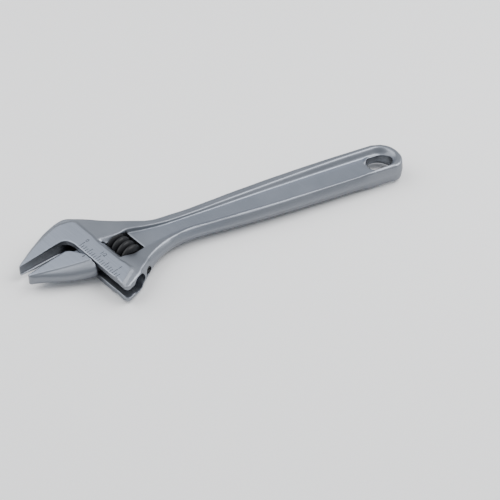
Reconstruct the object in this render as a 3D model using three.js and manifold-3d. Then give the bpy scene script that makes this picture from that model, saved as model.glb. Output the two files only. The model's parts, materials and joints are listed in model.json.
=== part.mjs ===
// An eight inch adjustable wrench: a one-piece forged body with the fixed jaw, a sliding jaw whose round
// rail carries a rack, the worm that drives it, the worm's screw and the spring around that screw.
//
// Millimetres, +Z up. The wrench lies flat with its handle along X: the jaws at -X, the hang hole at +X.
// Every piece is drawn about the hang hole's centre at mid thickness, and the last lines move the finished
// wrench so that the origin is the middle of its footprint, at its lowest plane.
import * as THREE from "three";
import { mergeVertices } from "three/addons/utils/BufferGeometryUtils.js";
import Module from "manifold-3d";

const wasm = await Module();
wasm.setup();

// ---- Driving dimensions ----------------------------------------------------------------------------
const GAP = 0.3; // clearance between pieces that touch or slide on the real tool

// The head's own axes: "forward" runs from the slide to the jaw tips, "down" is the way the jaw opens.
const HEAD_ANGLE = THREE.MathUtils.degToRad(15); // jaw faces against the handle's centre line
const HEAD_X = -164; // the corner where the fixed jaw's face would meet the slide face
const HEAD_Y = 13.15;

const HEAD_HALF = 6.1; // half thickness at the back edge of the ground lands
const LAND_BACK = -9; // where the ground land ends, measured forward from the slide face
const LAND_SLOPE = Math.tan(THREE.MathUtils.degToRad(5)); // each land leans in towards the jaw tips
const CHEEK_HALF = 5.7; // half thickness of the forged cheeks behind the lands
const CHEEK_STEP = 0.5; // length of the small step between lands and cheeks
const CHEEK_END = -27; // the cheeks start to thin out here
const NECK_BACK = -34; // and are down to the neck's web here
const NECK_HALF = 4;
const HANDLE_HALF = 5.25;
const HANDLE_EDGE = 2.9; // rounding along the handle's outer edges
const HEAD_EDGE = 0.5; // bevel around the head

const HANDLE_END = 12; // half width at the hang hole, and the radius of the handle's end
const PANEL_DEPTH = 2; // depth of the sunk panel in each side of the handle
const PANEL_HALF = 7.1;
const PANEL_START = -136; // the panel's floor has risen to the cheeks here
const PANEL_FULL = -114; // and has its full depth from here on
const HOLE_RADIUS = 5.4; // the hang hole is a short slot with round ends
const HOLE_REACH = 1.6;

const JAW_REACH = 27.5; // slide face to jaw tip
const OPENING = 6.9; // between the jaw faces as the wrench lies
const JAW_NOSE = 2.7; // height of the rounded nose at the sliding jaw's tip
const JAW_HEEL = 23.8; // where the sliding jaw's underside turns up to the slide face
const JAW_CORNER = 6.2; // the quarter round between the sliding jaw's face and its rear
const SLOT_HALF = 2.5; // slot for the sliding jaw's neck
const SLOT_FRONT = 6;
const RAIL_BACK = -9.4; // axis of the rail and its bore
const RAIL_RADIUS = 4.25;
const RAIL_TOP = OPENING - 3.4; // the rail stands up past the jaw's face, to stay in mesh when fully open
const NECK_TOP = OPENING + 0.4;
const RAIL_END = 36;
const RACK_CLEARANCE = 0.25; // between the rack's teeth and the worm's thread
const BORE_TOP = -4;
const SLOT_TOP = -0.6;

const WORM_BACK = -17.7; // axis of the worm and its screw
const WORM_RADIUS = 6.4;
const WORM_PITCH = 3.85;
const THREAD_DEPTH = 2.2;
const WORM_TOP = 14.5;
const WORM_LENGTH = 13.2;
const WINDOW_FRONT = -10.2;
const WINDOW_BACK = WORM_BACK - WORM_RADIUS - GAP;

const SCREW_RADIUS = 1.5;
const SCREW_TOP = 11.4;
const SCREW_HEAD_RADIUS = 2.1;
const SCREW_HEAD_TOP = 35.4;
const SCREW_END = 38.6;
const DRIVER_SLOT_HALF = 0.4;
const DRIVER_SLOT_DEPTH = 0.9;
const POCKET_RADIUS = 3.2; // counterbore in the worm that holds the spring
const POCKET_DEPTH = 8;
const SPRING_RADIUS = 2.4; // to the middle of the wire
const SPRING_WIRE = 0.35;
const SPRING_TURNS = 5;

const BEYOND = 60; // cutting tools start or end this far out, past every piece
const ROUND_SIDES = 32; // facets of a round bar
const BEND_STEPS = 5; // facets of a rounded corner
const SPAN_STEPS = 3; // facets between two points of a smooth outline

// ---- Solids ----------------------------------------------------------------------------------------
// A closed three.js geometry as a manifold-3d solid.
function solid(geometry) {
  const bare = geometry.clone();
  bare.deleteAttribute("normal");
  bare.deleteAttribute("uv");
  const merged = mergeVertices(bare, 1e-4);
  return new wasm.Manifold(
    new wasm.Mesh({
      numProp: 3,
      vertProperties: merged.getAttribute("position").array,
      triVerts: new Uint32Array(merged.index.array),
    }),
  );
}

function geometryOf(manifold) {
  const { numProp, vertProperties, triVerts } = manifold.getMesh();
  const positions = [];
  for (const vertex of triVerts) {
    positions.push(...vertProperties.subarray(vertex * numProp, vertex * numProp + 3));
  }
  const geometry = new THREE.BufferGeometry();
  geometry.setAttribute("position", new THREE.Float32BufferAttribute(positions, 3));
  geometry.computeVertexNormals();
  return geometry;
}

// From the head's axes to the wrench's.
const headMatrix = new THREE.Matrix4().makeBasis(
  new THREE.Vector3(-Math.cos(HEAD_ANGLE), -Math.sin(HEAD_ANGLE), 0),
  new THREE.Vector3(Math.sin(HEAD_ANGLE), -Math.cos(HEAD_ANGLE), 0),
  new THREE.Vector3(0, 0, 1),
);
headMatrix.setPosition(HEAD_X, HEAD_Y, 0);

function headPoint(forward, down) {
  const point = new THREE.Vector3(forward, down, 0).applyMatrix4(headMatrix);
  return new THREE.Vector2(point.x, point.y);
}

// A shape's extrusion, centred on the mid plane, with its outer edges bevelled by "edge".
function plate(shape, half, edge = 0) {
  const geometry = new THREE.ExtrudeGeometry(shape, {
    depth: 2 * (half - edge),
    bevelEnabled: edge > 0,
    bevelThickness: edge,
    bevelSize: edge,
    bevelOffset: -edge,
    bevelSegments: 1,
  });
  return geometry.translate(0, 0, edge - half);
}

// A box between two corners in the head's axes.
function headBox([forward0, down0, z0], [forward1, down1, z1]) {
  const box = new THREE.BoxGeometry(forward1 - forward0, down1 - down0, z1 - z0);
  box.translate((forward0 + forward1) / 2, (down0 + down1) / 2, (z0 + z1) / 2);
  return box;
}

// A round bar along the slide direction, in the head's axes.
function headBar(forward, radius, top, end) {
  const bar = new THREE.CylinderGeometry(radius, radius, end - top, ROUND_SIDES);
  return bar.translate(forward, (top + end) / 2, 0);
}

const inHead = (geometry) => solid(geometry.applyMatrix4(headMatrix));

// ---- Outlines --------------------------------------------------------------------------------------
const vectors = (pairs) => pairs.map(([x, y]) => new THREE.Vector2(x, y));

// Points on a smooth curve through the given ones.
function smooth(points) {
  return new THREE.SplineCurve(points).getPoints((points.length - 1) * SPAN_STEPS);
}

function arc(centre, radius, start, end) {
  const curve = new THREE.EllipseCurve(centre.x, centre.y, radius, radius, start, end, end < start);
  return curve.getPoints(ROUND_SIDES / 2);
}

function bend(start, control, end) {
  return new THREE.QuadraticBezierCurve(start, control, end).getPoints(BEND_STEPS);
}

// The handle's edge from the hang hole to the neck, on the +Y side.
const handleEdge = vectors([
  [-22, 11.9],
  [-58, 11.4],
  [-78, 10.4],
  [-96, 8.8],
  [-107, 8.15],
]);

const nearHandle = handleEdge.map((point) => new THREE.Vector2(point.x, -point.y));
const farHandle = [...handleEdge].reverse();
const nearNeck = vectors([
  [-115, -8.6],
  [-121, -10.2],
  [-127, -13.2],
  [-133, -18.2],
  [-138, -23.2],
  [-143, -27.6],
]);
const farNeck = vectors([
  [-150, 21.5],
  [-145, 18],
  [-140, 14.9],
  [-135, 12.3],
  [-129, 9.8],
  [-121, 8.3],
]);

// The handle: rounded cross-sections from inside the head to the rounded end.
function handleSolid() {
  const insideHead = farNeck.slice(farNeck.length / 2).reverse();
  const edge = new THREE.SplineCurve([new THREE.Vector2(0, HANDLE_END), ...handleEdge, ...insideHead]);
  const spans = 30;
  const stations = edge.getPoints(spans).map((point) => [point.x, point.y]);
  const capSteps = 8;
  const narrowest = 0.4;
  for (let step = 1; step <= capSteps; step++) {
    const angle = (Math.PI / 2) * (1 - step / capSteps);
    stations.unshift([HANDLE_END * Math.cos(angle), Math.max(HANDLE_END * Math.sin(angle), narrowest)]);
  }
  return solid(loft(stations.reverse()));
}

// A closed skin through rounded rectangles, each given as [x, half width], from -X to +X.
function loft(stations) {
  const cornerSteps = 4;
  const fullestRounding = 0.9; // of the half width, where the section is narrower than its rounding
  const positions = [];
  for (const [x, halfWidth] of stations) {
    const radius = Math.min(HANDLE_EDGE, halfWidth * fullestRounding);
    for (let corner = 0; corner < 4; corner++) {
      const sideY = corner === 0 || corner === 3 ? 1 : -1;
      const sideZ = corner < 2 ? 1 : -1;
      for (let step = 0; step <= cornerSteps; step++) {
        const angle = (corner + step / cornerSteps) * (Math.PI / 2);
        const y = sideY * (halfWidth - radius) + radius * Math.cos(angle);
        const z = sideZ * (HANDLE_HALF - radius) + radius * Math.sin(angle);
        positions.push(x, y, z);
      }
    }
  }
  const ring = 4 * (cornerSteps + 1);
  const last = (stations.length - 1) * ring;
  const faces = [];
  for (let side = 0; side < ring; side++) {
    const next = (side + 1) % ring;
    for (let start = 0; start < last; start += ring) {
      const end = start + ring;
      faces.push(start + side, start + next, end + next, start + side, end + next, end + side);
    }
    if (side > 0 && side < ring - 1) {
      faces.push(0, side + 1, side, last, last + side, last + side + 1);
    }
  }
  const geometry = new THREE.BufferGeometry();
  geometry.setAttribute("position", new THREE.Float32BufferAttribute(positions, 3));
  geometry.setIndex(faces);
  return geometry;
}

// The head's outline: along the near side to the lower corner, up the slide face, round the throat and
// the fixed jaw, and back along the far side.
function headOutline() {
  const jawBack = [
    headPoint(JAW_REACH, 0),
    headPoint(24, -3),
    headPoint(13, -8.1),
    headPoint(4, -11.9),
    headPoint(-3.5, -13.2),
    headPoint(-8.3, -12.1),
    headPoint(-11.4, -8.8),
  ];
  const lowerCorner = [headPoint(-1.2, 46.1), headPoint(0, 44.6)];
  const throat = bend(headPoint(0, 5.4), headPoint(0.4, 0), headPoint(4.4, 0));
  return new THREE.Shape([
    ...smooth([nearHandle[nearHandle.length - 1], ...nearNeck]),
    ...lowerCorner,
    ...throat,
    ...smooth([...jawBack, ...farNeck, farHandle[0]]),
  ]);
}

const landHalf = (forward) => HEAD_HALF - (forward - LAND_BACK) * LAND_SLOPE;

// The side view along the head's forward axis: lands that lean in towards the tips, a small step down to
// the cheeks, and cheeks that thin out into the handle.
function headProfile() {
  const pastTips = JAW_REACH + 4;
  const upper = [
    [pastTips, landHalf(pastTips)],
    [LAND_BACK, HEAD_HALF],
    [LAND_BACK - CHEEK_STEP, CHEEK_HALF],
    [CHEEK_END, CHEEK_HALF],
    [NECK_BACK, NECK_HALF],
    [-BEYOND, NECK_HALF],
  ];
  return symmetricPrism(upper).applyMatrix4(headMatrix);
}

// A prism across the wrench from the upper half of a side view; its lower half is the mirror image.
function symmetricPrism(upper) {
  const lower = upper.map(([along, z]) => [along, -z]).reverse();
  const shape = new THREE.Shape([...upper, ...lower].map(([along, z]) => new THREE.Vector2(along, z)));
  const prism = new THREE.ExtrudeGeometry(shape, { depth: 2 * BEYOND, bevelEnabled: false });
  return prism.translate(0, 0, -BEYOND).rotateX(Math.PI / 2);
}

// The sunk panels: their outline ends in a half circle round the hang hole, and their floor rises to
// nothing at the neck.
function panelCutter() {
  const nearEdge = vectors([
    [-20, -7],
    [-60, -6.6],
    [-80, -5.7],
    [-100, -4.4],
    [-115, -4.2],
    [-130, -5],
  ]);
  const farEdge = nearEdge.map((point) => new THREE.Vector2(point.x, -point.y)).reverse();
  const shape = new THREE.Shape([
    ...arc(new THREE.Vector2(0, 0), PANEL_HALF, Math.PI / 2, -Math.PI / 2),
    ...smooth(nearEdge),
    new THREE.Vector2(PANEL_START, 0),
    ...smooth(farEdge),
  ]);
  const floor = HANDLE_HALF - PANEL_DEPTH;
  const web = symmetricPrism([
    [PANEL_START, CHEEK_HALF],
    [PANEL_FULL, floor],
    [HANDLE_END + 1, floor],
  ]);
  return solid(plate(shape, HEAD_HALF + 1)).subtract(solid(web));
}

function hangHole() {
  const right = new THREE.Vector2(HOLE_REACH, 0);
  const left = new THREE.Vector2(-HOLE_REACH, 0);
  const shape = new THREE.Shape([
    ...arc(right, HOLE_RADIUS, -Math.PI / 2, Math.PI / 2),
    ...arc(left, HOLE_RADIUS, Math.PI / 2, Math.PI * 1.5),
  ]);
  return solid(plate(shape, HEAD_HALF + 1));
}

function makeBody() {
  const head = solid(plate(headOutline(), HEAD_HALF, HEAD_EDGE)).intersect(solid(headProfile()));
  const window = headBox(
    [WINDOW_BACK, WORM_TOP - GAP, -BEYOND],
    [WINDOW_FRONT, WORM_TOP + WORM_LENGTH + GAP, BEYOND],
  );
  const slot = headBox([RAIL_BACK, SLOT_TOP, -SLOT_HALF], [SLOT_FRONT, BEYOND, SLOT_HALF]);
  return handleSolid()
    .add(head)
    .subtract(panelCutter())
    .subtract(hangHole())
    .subtract(inHead(window))
    .subtract(inHead(slot))
    .subtract(inHead(headBar(RAIL_BACK, RAIL_RADIUS + GAP, BORE_TOP, BEYOND)))
    .subtract(inHead(headBar(WORM_BACK, SCREW_RADIUS + GAP, SCREW_TOP - GAP, BEYOND)))
    .subtract(inHead(headBar(WORM_BACK, SCREW_HEAD_RADIUS + GAP, SCREW_HEAD_TOP - GAP, BEYOND)));
}

// A worm about the slide direction. "grow" widens its thread and radius, for cutting the rack.
function wormSolid(top, length, grow = 0) {
  const sides = 40;
  const rowsPerTurn = 10;
  const rows = Math.round((length / WORM_PITCH) * rowsPerTurn);
  const positions = [];
  const radiusAt = (turn, along) => {
    const phase = (along - WORM_TOP) / WORM_PITCH - turn;
    const fromCrest = Math.abs(phase - Math.round(phase));
    const shrunk = Math.max(fromCrest - grow / WORM_PITCH, 0);
    const swell = (1 + Math.cos(2 * Math.PI * shrunk)) / 2;
    return WORM_RADIUS - THREAD_DEPTH * (1 - swell) + grow;
  };
  for (let row = 0; row <= rows; row++) {
    const along = top + (length * row) / rows;
    for (let side = 0; side < sides; side++) {
      const turn = side / sides;
      const radius = radiusAt(turn, along);
      const angle = turn * 2 * Math.PI;
      positions.push(radius * Math.sin(angle) + WORM_BACK, along, radius * Math.cos(angle));
    }
  }
  const topCentre = positions.length / 3;
  positions.push(WORM_BACK, top, 0, WORM_BACK, top + length, 0);
  const faces = [];
  for (let side = 0; side < sides; side++) {
    const next = (side + 1) % sides;
    const last = rows * sides;
    faces.push(topCentre, next, side, topCentre + 1, last + side, last + next);
    for (let row = 0; row < rows; row++) {
      const here = row * sides;
      const below = here + sides;
      faces.push(here + side, here + next, below + next, here + side, below + next, below + side);
    }
  }
  const geometry = new THREE.BufferGeometry();
  geometry.setAttribute("position", new THREE.Float32BufferAttribute(positions, 3));
  geometry.setIndex(faces);
  return inHead(geometry);
}

function makeWorm() {
  return wormSolid(WORM_TOP, WORM_LENGTH)
    .subtract(inHead(headBar(WORM_BACK, SCREW_RADIUS + GAP, 0, BEYOND)))
    .subtract(inHead(headBar(WORM_BACK, POCKET_RADIUS, 0, WORM_TOP + POCKET_DEPTH)));
}

// A block that removes everything beyond the plane through three points, in the head's axes.
function beyondPlane(p0, p1, p2) {
  const origin = new THREE.Vector3(...p0);
  const along = new THREE.Vector3(...p1).sub(origin).normalize();
  const across = new THREE.Vector3(...p2).sub(origin);
  const normal = new THREE.Vector3().crossVectors(across, along).normalize();
  const second = new THREE.Vector3().crossVectors(normal, along);
  const place = new THREE.Matrix4().makeBasis(along, second, normal).setPosition(origin);
  const cube = new THREE.BoxGeometry(BEYOND, BEYOND, BEYOND);
  return cube.translate(0, 0, BEYOND / 2).applyMatrix4(place);
}

// The sliding jaw's outline: a rounded nose, a bellied underside, and a rear edge along the slide face.
function jawOutline() {
  const rear = GAP;
  const at = (forward, down) => new THREE.Vector2(forward, down);
  const nose = bend(
    at(JAW_REACH, OPENING),
    at(JAW_REACH, OPENING + JAW_NOSE * 0.7),
    at(JAW_REACH - JAW_NOSE, OPENING + JAW_NOSE),
  );
  const belly = smooth([nose[BEND_STEPS], at(18, 15.8), at(12, 20), at(5, JAW_HEEL)]);
  const heel = bend(at(4.6, JAW_HEEL), at(rear, JAW_HEEL + 1.8), at(rear, JAW_HEEL - 2));
  const corner = bend(
    at(rear, OPENING + JAW_CORNER + 2),
    at(rear, OPENING + JAW_CORNER / 2),
    at(JAW_CORNER, OPENING),
  );
  return new THREE.Shape([...nose, ...belly.slice(1, -1), ...heel, ...corner]);
}

// The jaw's block narrows from the edge of its land to a ridge at mid thickness. On each side one facet
// starts at the land's edge and another, steeper one takes the corner off the underside.
function makeJaw() {
  const landFront = [25.4, 9.4, landHalf(25.4)];
  const landBack = [4, 18.4, landHalf(4)];
  const midFacet = [12, 18.4, 2.9];
  const facets = [
    [landFront, landBack, midFacet],
    [[22, 11.9, 2], midFacet, [12, 19.8, 1]],
  ];
  let block = solid(plate(jawOutline(), HEAD_HALF).applyMatrix4(headMatrix));
  for (const facet of facets) {
    const mirrored = facet.map(([forward, down, z]) => [forward, down, -z]).reverse();
    block = block.subtract(inHead(beyondPlane(...facet))).subtract(inHead(beyondPlane(...mirrored)));
  }
  const neckHalf = SLOT_HALF - GAP;
  const neck = headBox([RAIL_BACK, NECK_TOP, -neckHalf], [JAW_CORNER / 2, JAW_HEEL - 1, neckHalf]);
  const rail = headBar(RAIL_BACK, RAIL_RADIUS, RAIL_TOP, RAIL_END);
  return block
    .intersect(solid(headProfile()))
    .add(inHead(neck))
    .add(inHead(rail))
    .subtract(wormSolid(-WORM_LENGTH, BEYOND, RACK_CLEARANCE));
}

function makeScrew() {
  const slot = headBox(
    [WORM_BACK - SCREW_HEAD_RADIUS - 1, SCREW_END - DRIVER_SLOT_DEPTH, -DRIVER_SLOT_HALF],
    [WORM_BACK + SCREW_HEAD_RADIUS + 1, SCREW_END + 1, DRIVER_SLOT_HALF],
  );
  const shank = headBar(WORM_BACK, SCREW_RADIUS, SCREW_TOP, SCREW_END - 2 * DRIVER_SLOT_DEPTH);
  const head = headBar(WORM_BACK, SCREW_HEAD_RADIUS, SCREW_HEAD_TOP, SCREW_END);
  return inHead(shank).add(inHead(head)).subtract(inHead(slot));
}

// The spring's wire winds round the screw, inside the worm's counterbore.
class SpringCurve extends THREE.Curve {
  getPoint(t, target = new THREE.Vector3()) {
    const first = WORM_TOP + SPRING_WIRE;
    const last = WORM_TOP + POCKET_DEPTH - GAP - SPRING_WIRE;
    const angle = t * SPRING_TURNS * 2 * Math.PI;
    return target.set(
      WORM_BACK + SPRING_RADIUS * Math.cos(angle),
      first + (last - first) * t,
      SPRING_RADIUS * Math.sin(angle),
    );
  }
}

function makeSpring() {
  const section = new THREE.Shape().absarc(0, 0, SPRING_WIRE, 0, 2 * Math.PI);
  const stepsPerTurn = 16;
  const wire = new THREE.ExtrudeGeometry(section, {
    steps: SPRING_TURNS * stepsPerTurn,
    curveSegments: 4,
    bevelEnabled: false,
    extrudePath: new SpringCurve(),
  });
  return inHead(wire);
}

// ---- Assembly --------------------------------------------------------------------------------------
const platedSteel = { color: 0x9a9ea6, roughness: 0.42, metalness: 0.9 };
const blackOxide = { color: 0x17181a, roughness: 0.5, metalness: 0.8 };
const springSteel = { color: 0x6e7073, roughness: 0.35, metalness: 1 };
const wrench = new THREE.Group();

function addPiece(name, shape, finish) {
  const piece = new THREE.Mesh(geometryOf(shape), new THREE.MeshStandardMaterial(finish));
  piece.name = name;
  wrench.add(piece);
}

addPiece("body", makeBody(), platedSteel);
addPiece("movable_jaw", makeJaw(), platedSteel);
addPiece("worm_knurl", makeWorm(), blackOxide);
addPiece("worm_screw", makeScrew(), blackOxide);
addPiece("worm_spring", makeSpring(), springSteel);

const footprint = new THREE.Box3().setFromObject(wrench);
const middle = footprint.getCenter(new THREE.Vector3());
wrench.position.set(-middle.x, -middle.y, -footprint.min.z);

export default wrench;
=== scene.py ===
"""The looks of an eight inch adjustable wrench around its CAD frame: a satin plated forging with ground
lands and an engraved inch scale, a sliding jaw on a rack rail, and a black oxide worm on its screw.

Shapes are worked out in millimetres. The wrench's own axes start beside the hang hole's centre, at mid
thickness: x towards the handle's end, y towards the far side, where the fixed jaw is. The head's axes
start at the corner where the fixed jaw's face would meet the slide face: "forward" to the jaw tips and
"down" the way the jaw opens. The code calls those two a and b.
"""
import json
import math

import bmesh
import bpy
import numpy as np
import openvdb
from mathutils import Euler, Matrix, Vector


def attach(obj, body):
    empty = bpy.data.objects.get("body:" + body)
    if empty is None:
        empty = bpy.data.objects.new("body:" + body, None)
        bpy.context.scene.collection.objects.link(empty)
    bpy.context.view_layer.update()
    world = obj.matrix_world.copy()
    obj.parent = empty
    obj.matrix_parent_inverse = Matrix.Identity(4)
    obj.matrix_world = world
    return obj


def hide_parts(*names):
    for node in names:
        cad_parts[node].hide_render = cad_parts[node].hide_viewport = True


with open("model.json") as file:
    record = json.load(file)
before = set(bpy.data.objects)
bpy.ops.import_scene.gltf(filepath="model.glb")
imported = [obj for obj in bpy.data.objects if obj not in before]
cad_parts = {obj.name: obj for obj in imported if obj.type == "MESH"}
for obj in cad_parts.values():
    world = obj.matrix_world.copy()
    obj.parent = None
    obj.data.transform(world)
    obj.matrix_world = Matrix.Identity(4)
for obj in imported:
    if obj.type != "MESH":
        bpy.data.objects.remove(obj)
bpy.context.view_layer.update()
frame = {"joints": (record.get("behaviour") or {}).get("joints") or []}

# ---- Driving dimensions, in millimetres as in the CAD ------------------------------------------------
# "Half" is half a thickness or half a width. In the head's axes, "back" and "front" are places along
# forward, and "top" and "end" are places along down. The hang hole is two half circles with a straight
# run of twice HOLE_REACH between them.
MM = 0.001
INCH = 25.4
GAP = 0.3

HEAD_X, HEAD_Y = -164.0, 13.15
HEAD_HALF, CHEEK_HALF = 6.1, 5.5
LAND_BACK = -9.0
LAND_SLOPE = math.tan(math.radians(5))
HANDLE_END, END_RADIUS, HANDLE_MIDDLE = 12.0, 11.0, 1.2
END_X = HANDLE_END - END_RADIUS
HOLE_RADIUS, HOLE_REACH, HOLE_X, HOLE_Y = 5.5, 1.4, 0.2, 0.1
JAW_REACH, OPENING = 27.5, 6.9

SLOT_HALF, SLOT_TOP = 2.5, -0.6
RAIL_BACK, RAIL_RADIUS, RAIL_TOP, RAIL_END = -9.4, 4.25, 3.5, 36.0
BORE_RADIUS, BORE_TOP = 4.5, -4.0
WORM_BACK, WORM_RADIUS, WORM_PITCH, THREAD_DEPTH = -17.7, 6.4, 3.85, 2.2
WORM_TOP, WORM_LENGTH = 14.5, 13.2
WINDOW_FRONT, WINDOW_BACK, WINDOW_TOP, WINDOW_END = -10.2, -24.6, 14.2, 28.0
SCREW_RADIUS, SCREW_TOP, SCREW_END = 1.5, 11.4, 38.6
SCREW_HEAD_RADIUS, SCREW_HEAD_TOP = 2.1, 35.4
POCKET_RADIUS, POCKET_DEPTH = 3.2, 8.0
SPRING_RADIUS, SPRING_WIRE, SPRING_TURNS = 2.4, 0.35, 5

# ---- The frame: the head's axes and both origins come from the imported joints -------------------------
joints = {joint["name"]: joint for joint in frame["joints"]}
DOWN = Vector(joints["jaw_slide"]["axis"])
FORWARD = DOWN.cross(Vector((0, 0, 1)))
worm_middle = Vector(joints["worm_spin"]["pos_m"]) / MM
HEAD = worm_middle - WORM_BACK * FORWARD - (WORM_TOP + WORM_LENGTH / 2) * DOWN
ORIGIN = HEAD - Vector((HEAD_X, HEAD_Y, 0))


def axes_matrix(origin, x_axis, y_axis):
    """From millimetres about an origin, along two axes in the wrench's plane, to the row frame's metres."""
    turn = Matrix((x_axis, y_axis, (0, 0, 1))).transposed().to_4x4()
    return Matrix.Scale(MM, 4) @ Matrix.Translation(origin) @ turn


WRENCH_AXES = axes_matrix(ORIGIN, (1, 0, 0), (0, 1, 0))
HEAD_AXES = axes_matrix(HEAD, FORWARD, DOWN)
WORM_AXES = axes_matrix(HEAD + WORM_BACK * FORWARD, FORWARD, DOWN)


def to_head(x, y):
    """The head's axes at points given in the wrench's."""
    dx, dy = x - HEAD_X, y - HEAD_Y
    return dx * FORWARD.x + dy * FORWARD.y, dx * DOWN.x + dy * DOWN.y


def from_head(points):
    """Points in the head's plane, in the wrench's axes."""
    return [(HEAD_X + a * FORWARD.x + b * DOWN.x, HEAD_Y + a * FORWARD.y + b * DOWN.y) for a, b in points]


# ---- Curves ------------------------------------------------------------------------------------------
def smooth(points, per_span=8):
    """Points on a Catmull-Rom curve through the given ones."""
    p = np.array(points, float)
    p = np.vstack([2 * p[0] - p[1], p, 2 * p[-1] - p[-2]])
    made = []
    for i in range(1, len(p) - 2):
        for t in np.arange(per_span) / per_span:
            made.append(
                p[i] + 0.5 * t * (p[i + 1] - p[i - 1]
                + t * (2 * p[i - 1] - 5 * p[i] + 4 * p[i + 1] - p[i + 2]
                + t * (3 * (p[i] - p[i + 1]) + p[i + 2] - p[i - 1])))
            )
    made.append(p[-2])
    return [tuple(q) for q in made]


def along(x, table):
    """A smooth function of x through the table's (x, value) pairs, which are spaced fairly evenly."""
    dense = np.array(smooth(table, per_span=12))
    return np.interp(x, dense[:, 0], dense[:, 1])


def ramp(value, start, end):
    return np.clip((value - start) / (end - start), 0, 1)


def ease(value, start, end):
    t = ramp(value, start, end)
    return t * t * (3 - 2 * t)


# ---- Distance fields, negative inside ----------------------------------------------------------------
FAR_AWAY_SQUARED = 1e9
SHORTEST_SQUARED = 1e-12


def polygon(points, x, y):
    """Signed distance to a closed outline."""
    p = np.array(points, float)
    nearest = np.full(np.broadcast(x, y).shape, FAR_AWAY_SQUARED)
    inside = np.zeros(nearest.shape, bool)
    for (ax, ay), (bx, by) in zip(p, np.roll(p, -1, axis=0)):
        ex, ey = bx - ax, by - ay
        t = np.clip(((x - ax) * ex + (y - ay) * ey) / max(ex * ex + ey * ey, SHORTEST_SQUARED), 0, 1)
        nearest = np.minimum(nearest, (x - ax - t * ex) ** 2 + (y - ay - t * ey) ** 2)
        if ay != by:
            crosses = (ay > y) != (by > y)
            inside ^= crosses & (x < ax + ex * (y - ay) / ey)
    return np.where(inside, -1, 1) * np.sqrt(nearest)


def rounded_box(a, b, across, down, corner):
    """A rectangle with rounded corners in the head's plane."""
    da = np.abs(a - sum(across) / 2) - (across[1] - across[0]) / 2 + corner
    db = np.abs(b - sum(down) / 2) - (down[1] - down[0]) / 2 + corner
    return np.hypot(np.maximum(da, 0), np.maximum(db, 0)) + np.minimum(np.maximum(da, db), 0) - corner


def slab(value, low, high):
    return np.maximum(low - value, value - high)


def bar(a, z, forward, radius):
    """An endless round bar along the head's "down"."""
    return np.hypot(a - forward, z) - radius


def meet(a, b, radius):
    """What is inside both fields, with the edge between them rounded."""
    u, v = np.maximum(radius + a, 0), np.maximum(radius + b, 0)
    return np.minimum(np.maximum(a, b), -radius) + np.hypot(u, v)


def cut(a, b, radius):
    return meet(a, -b, radius)


def join(a, b, radius):
    return -meet(-a, -b, radius)


def weighted(x, y, spots):
    """A value that changes smoothly between (x, y, value) spots. Within 1 mm a spot's pull stays even."""
    total, weight = 0, 0
    for sx, sy, value in spots:
        w = 1 / ((x - sx) ** 2 + (y - sy) ** 2 + 1) ** 2
        total, weight = total + w * value, weight + w
    return total / weight


# ---- Grids and meshes --------------------------------------------------------------------------------
MARGIN_STEPS = 3
OUTSIDE = 10.0
POLISH_PASSES, POLISH_SHARE = 2, 0.5
SHARP_ANGLE = math.radians(40)


def grid_step(fine):
    return fine


def grid_lines(low, high, step):
    """Evenly spaced grid lines from a little before the low end to a little past the high one."""
    return np.arange(low - MARGIN_STEPS * step, high + MARGIN_STEPS * step, step)


def mirrored_lines(reach, step):
    """Evenly spaced grid lines, the same on both sides of zero."""
    half = np.arange(0, reach, step) + step / 2
    return np.concatenate([-half[::-1], half])


def surface(name, field, xs, ys, zs):
    """A closed quad mesh of the field's zero surface. The grid's lines may be unevenly spaced."""
    grid = openvdb.FloatGrid(OUTSIDE)
    grid.copyFromArray(field.astype(np.float32))
    points, quads = grid.convertToQuads(isovalue=0)
    placed = np.stack([np.interp(points[:, k], np.arange(len(s)), s) for k, s in enumerate((xs, ys, zs))], 1)
    piece = new_piece(name, placed.tolist(), quads.tolist())
    smoother = piece.modifiers.new("polish", "SMOOTH")
    smoother.factor, smoother.iterations = POLISH_SHARE, POLISH_PASSES
    apply_modifiers(piece)
    return piece


def new_piece(name, points, faces):
    mesh = bpy.data.meshes.new(name)
    mesh.from_pydata(points, [], faces)
    mesh.validate()
    piece = bpy.data.objects.new(name, mesh)
    bpy.context.scene.collection.objects.link(piece)
    return piece


def apply_modifiers(piece):
    depsgraph = bpy.context.evaluated_depsgraph_get()
    made = bpy.data.meshes.new_from_object(piece.evaluated_get(depsgraph))
    piece.modifiers.clear()
    piece.data = made


def thin_out(piece, most):
    """Drops vertices where the surface is flat, down to this many triangles."""
    triangles = sum(len(face.vertices) - 2 for face in piece.data.polygons)
    if triangles > most:
        fewer = piece.modifiers.new("thin", "DECIMATE")
        fewer.ratio = most / triangles
        apply_modifiers(piece)


def vertices(piece):
    """The x, y and z of the piece's vertices, as three arrays."""
    found = np.empty(len(piece.data.vertices) * 3)
    piece.data.vertices.foreach_get("co", found)
    return found.reshape(-1, 3).T


def mark(piece, name, values):
    """Stores one number at each vertex, for the piece's material."""
    layer = piece.data.attributes.new(name, "FLOAT", "POINT")
    layer.data.foreach_set("value", np.asarray(values, np.float32))


def place(piece, axes, body, node, material):
    """Moves a piece from its own millimetres to the row frame, and puts it on its body.

    Engraving leaves an empty material slot on the mesh, so the slots are cleared first.
    """
    mesh = piece.data
    mesh.transform(axes)
    mesh.shade_smooth()
    mesh.set_sharp_from_angle(angle=SHARP_ANGLE)
    mesh.materials.clear()
    mesh.materials.append(material)
    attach(piece, body)
    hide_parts(node)


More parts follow.
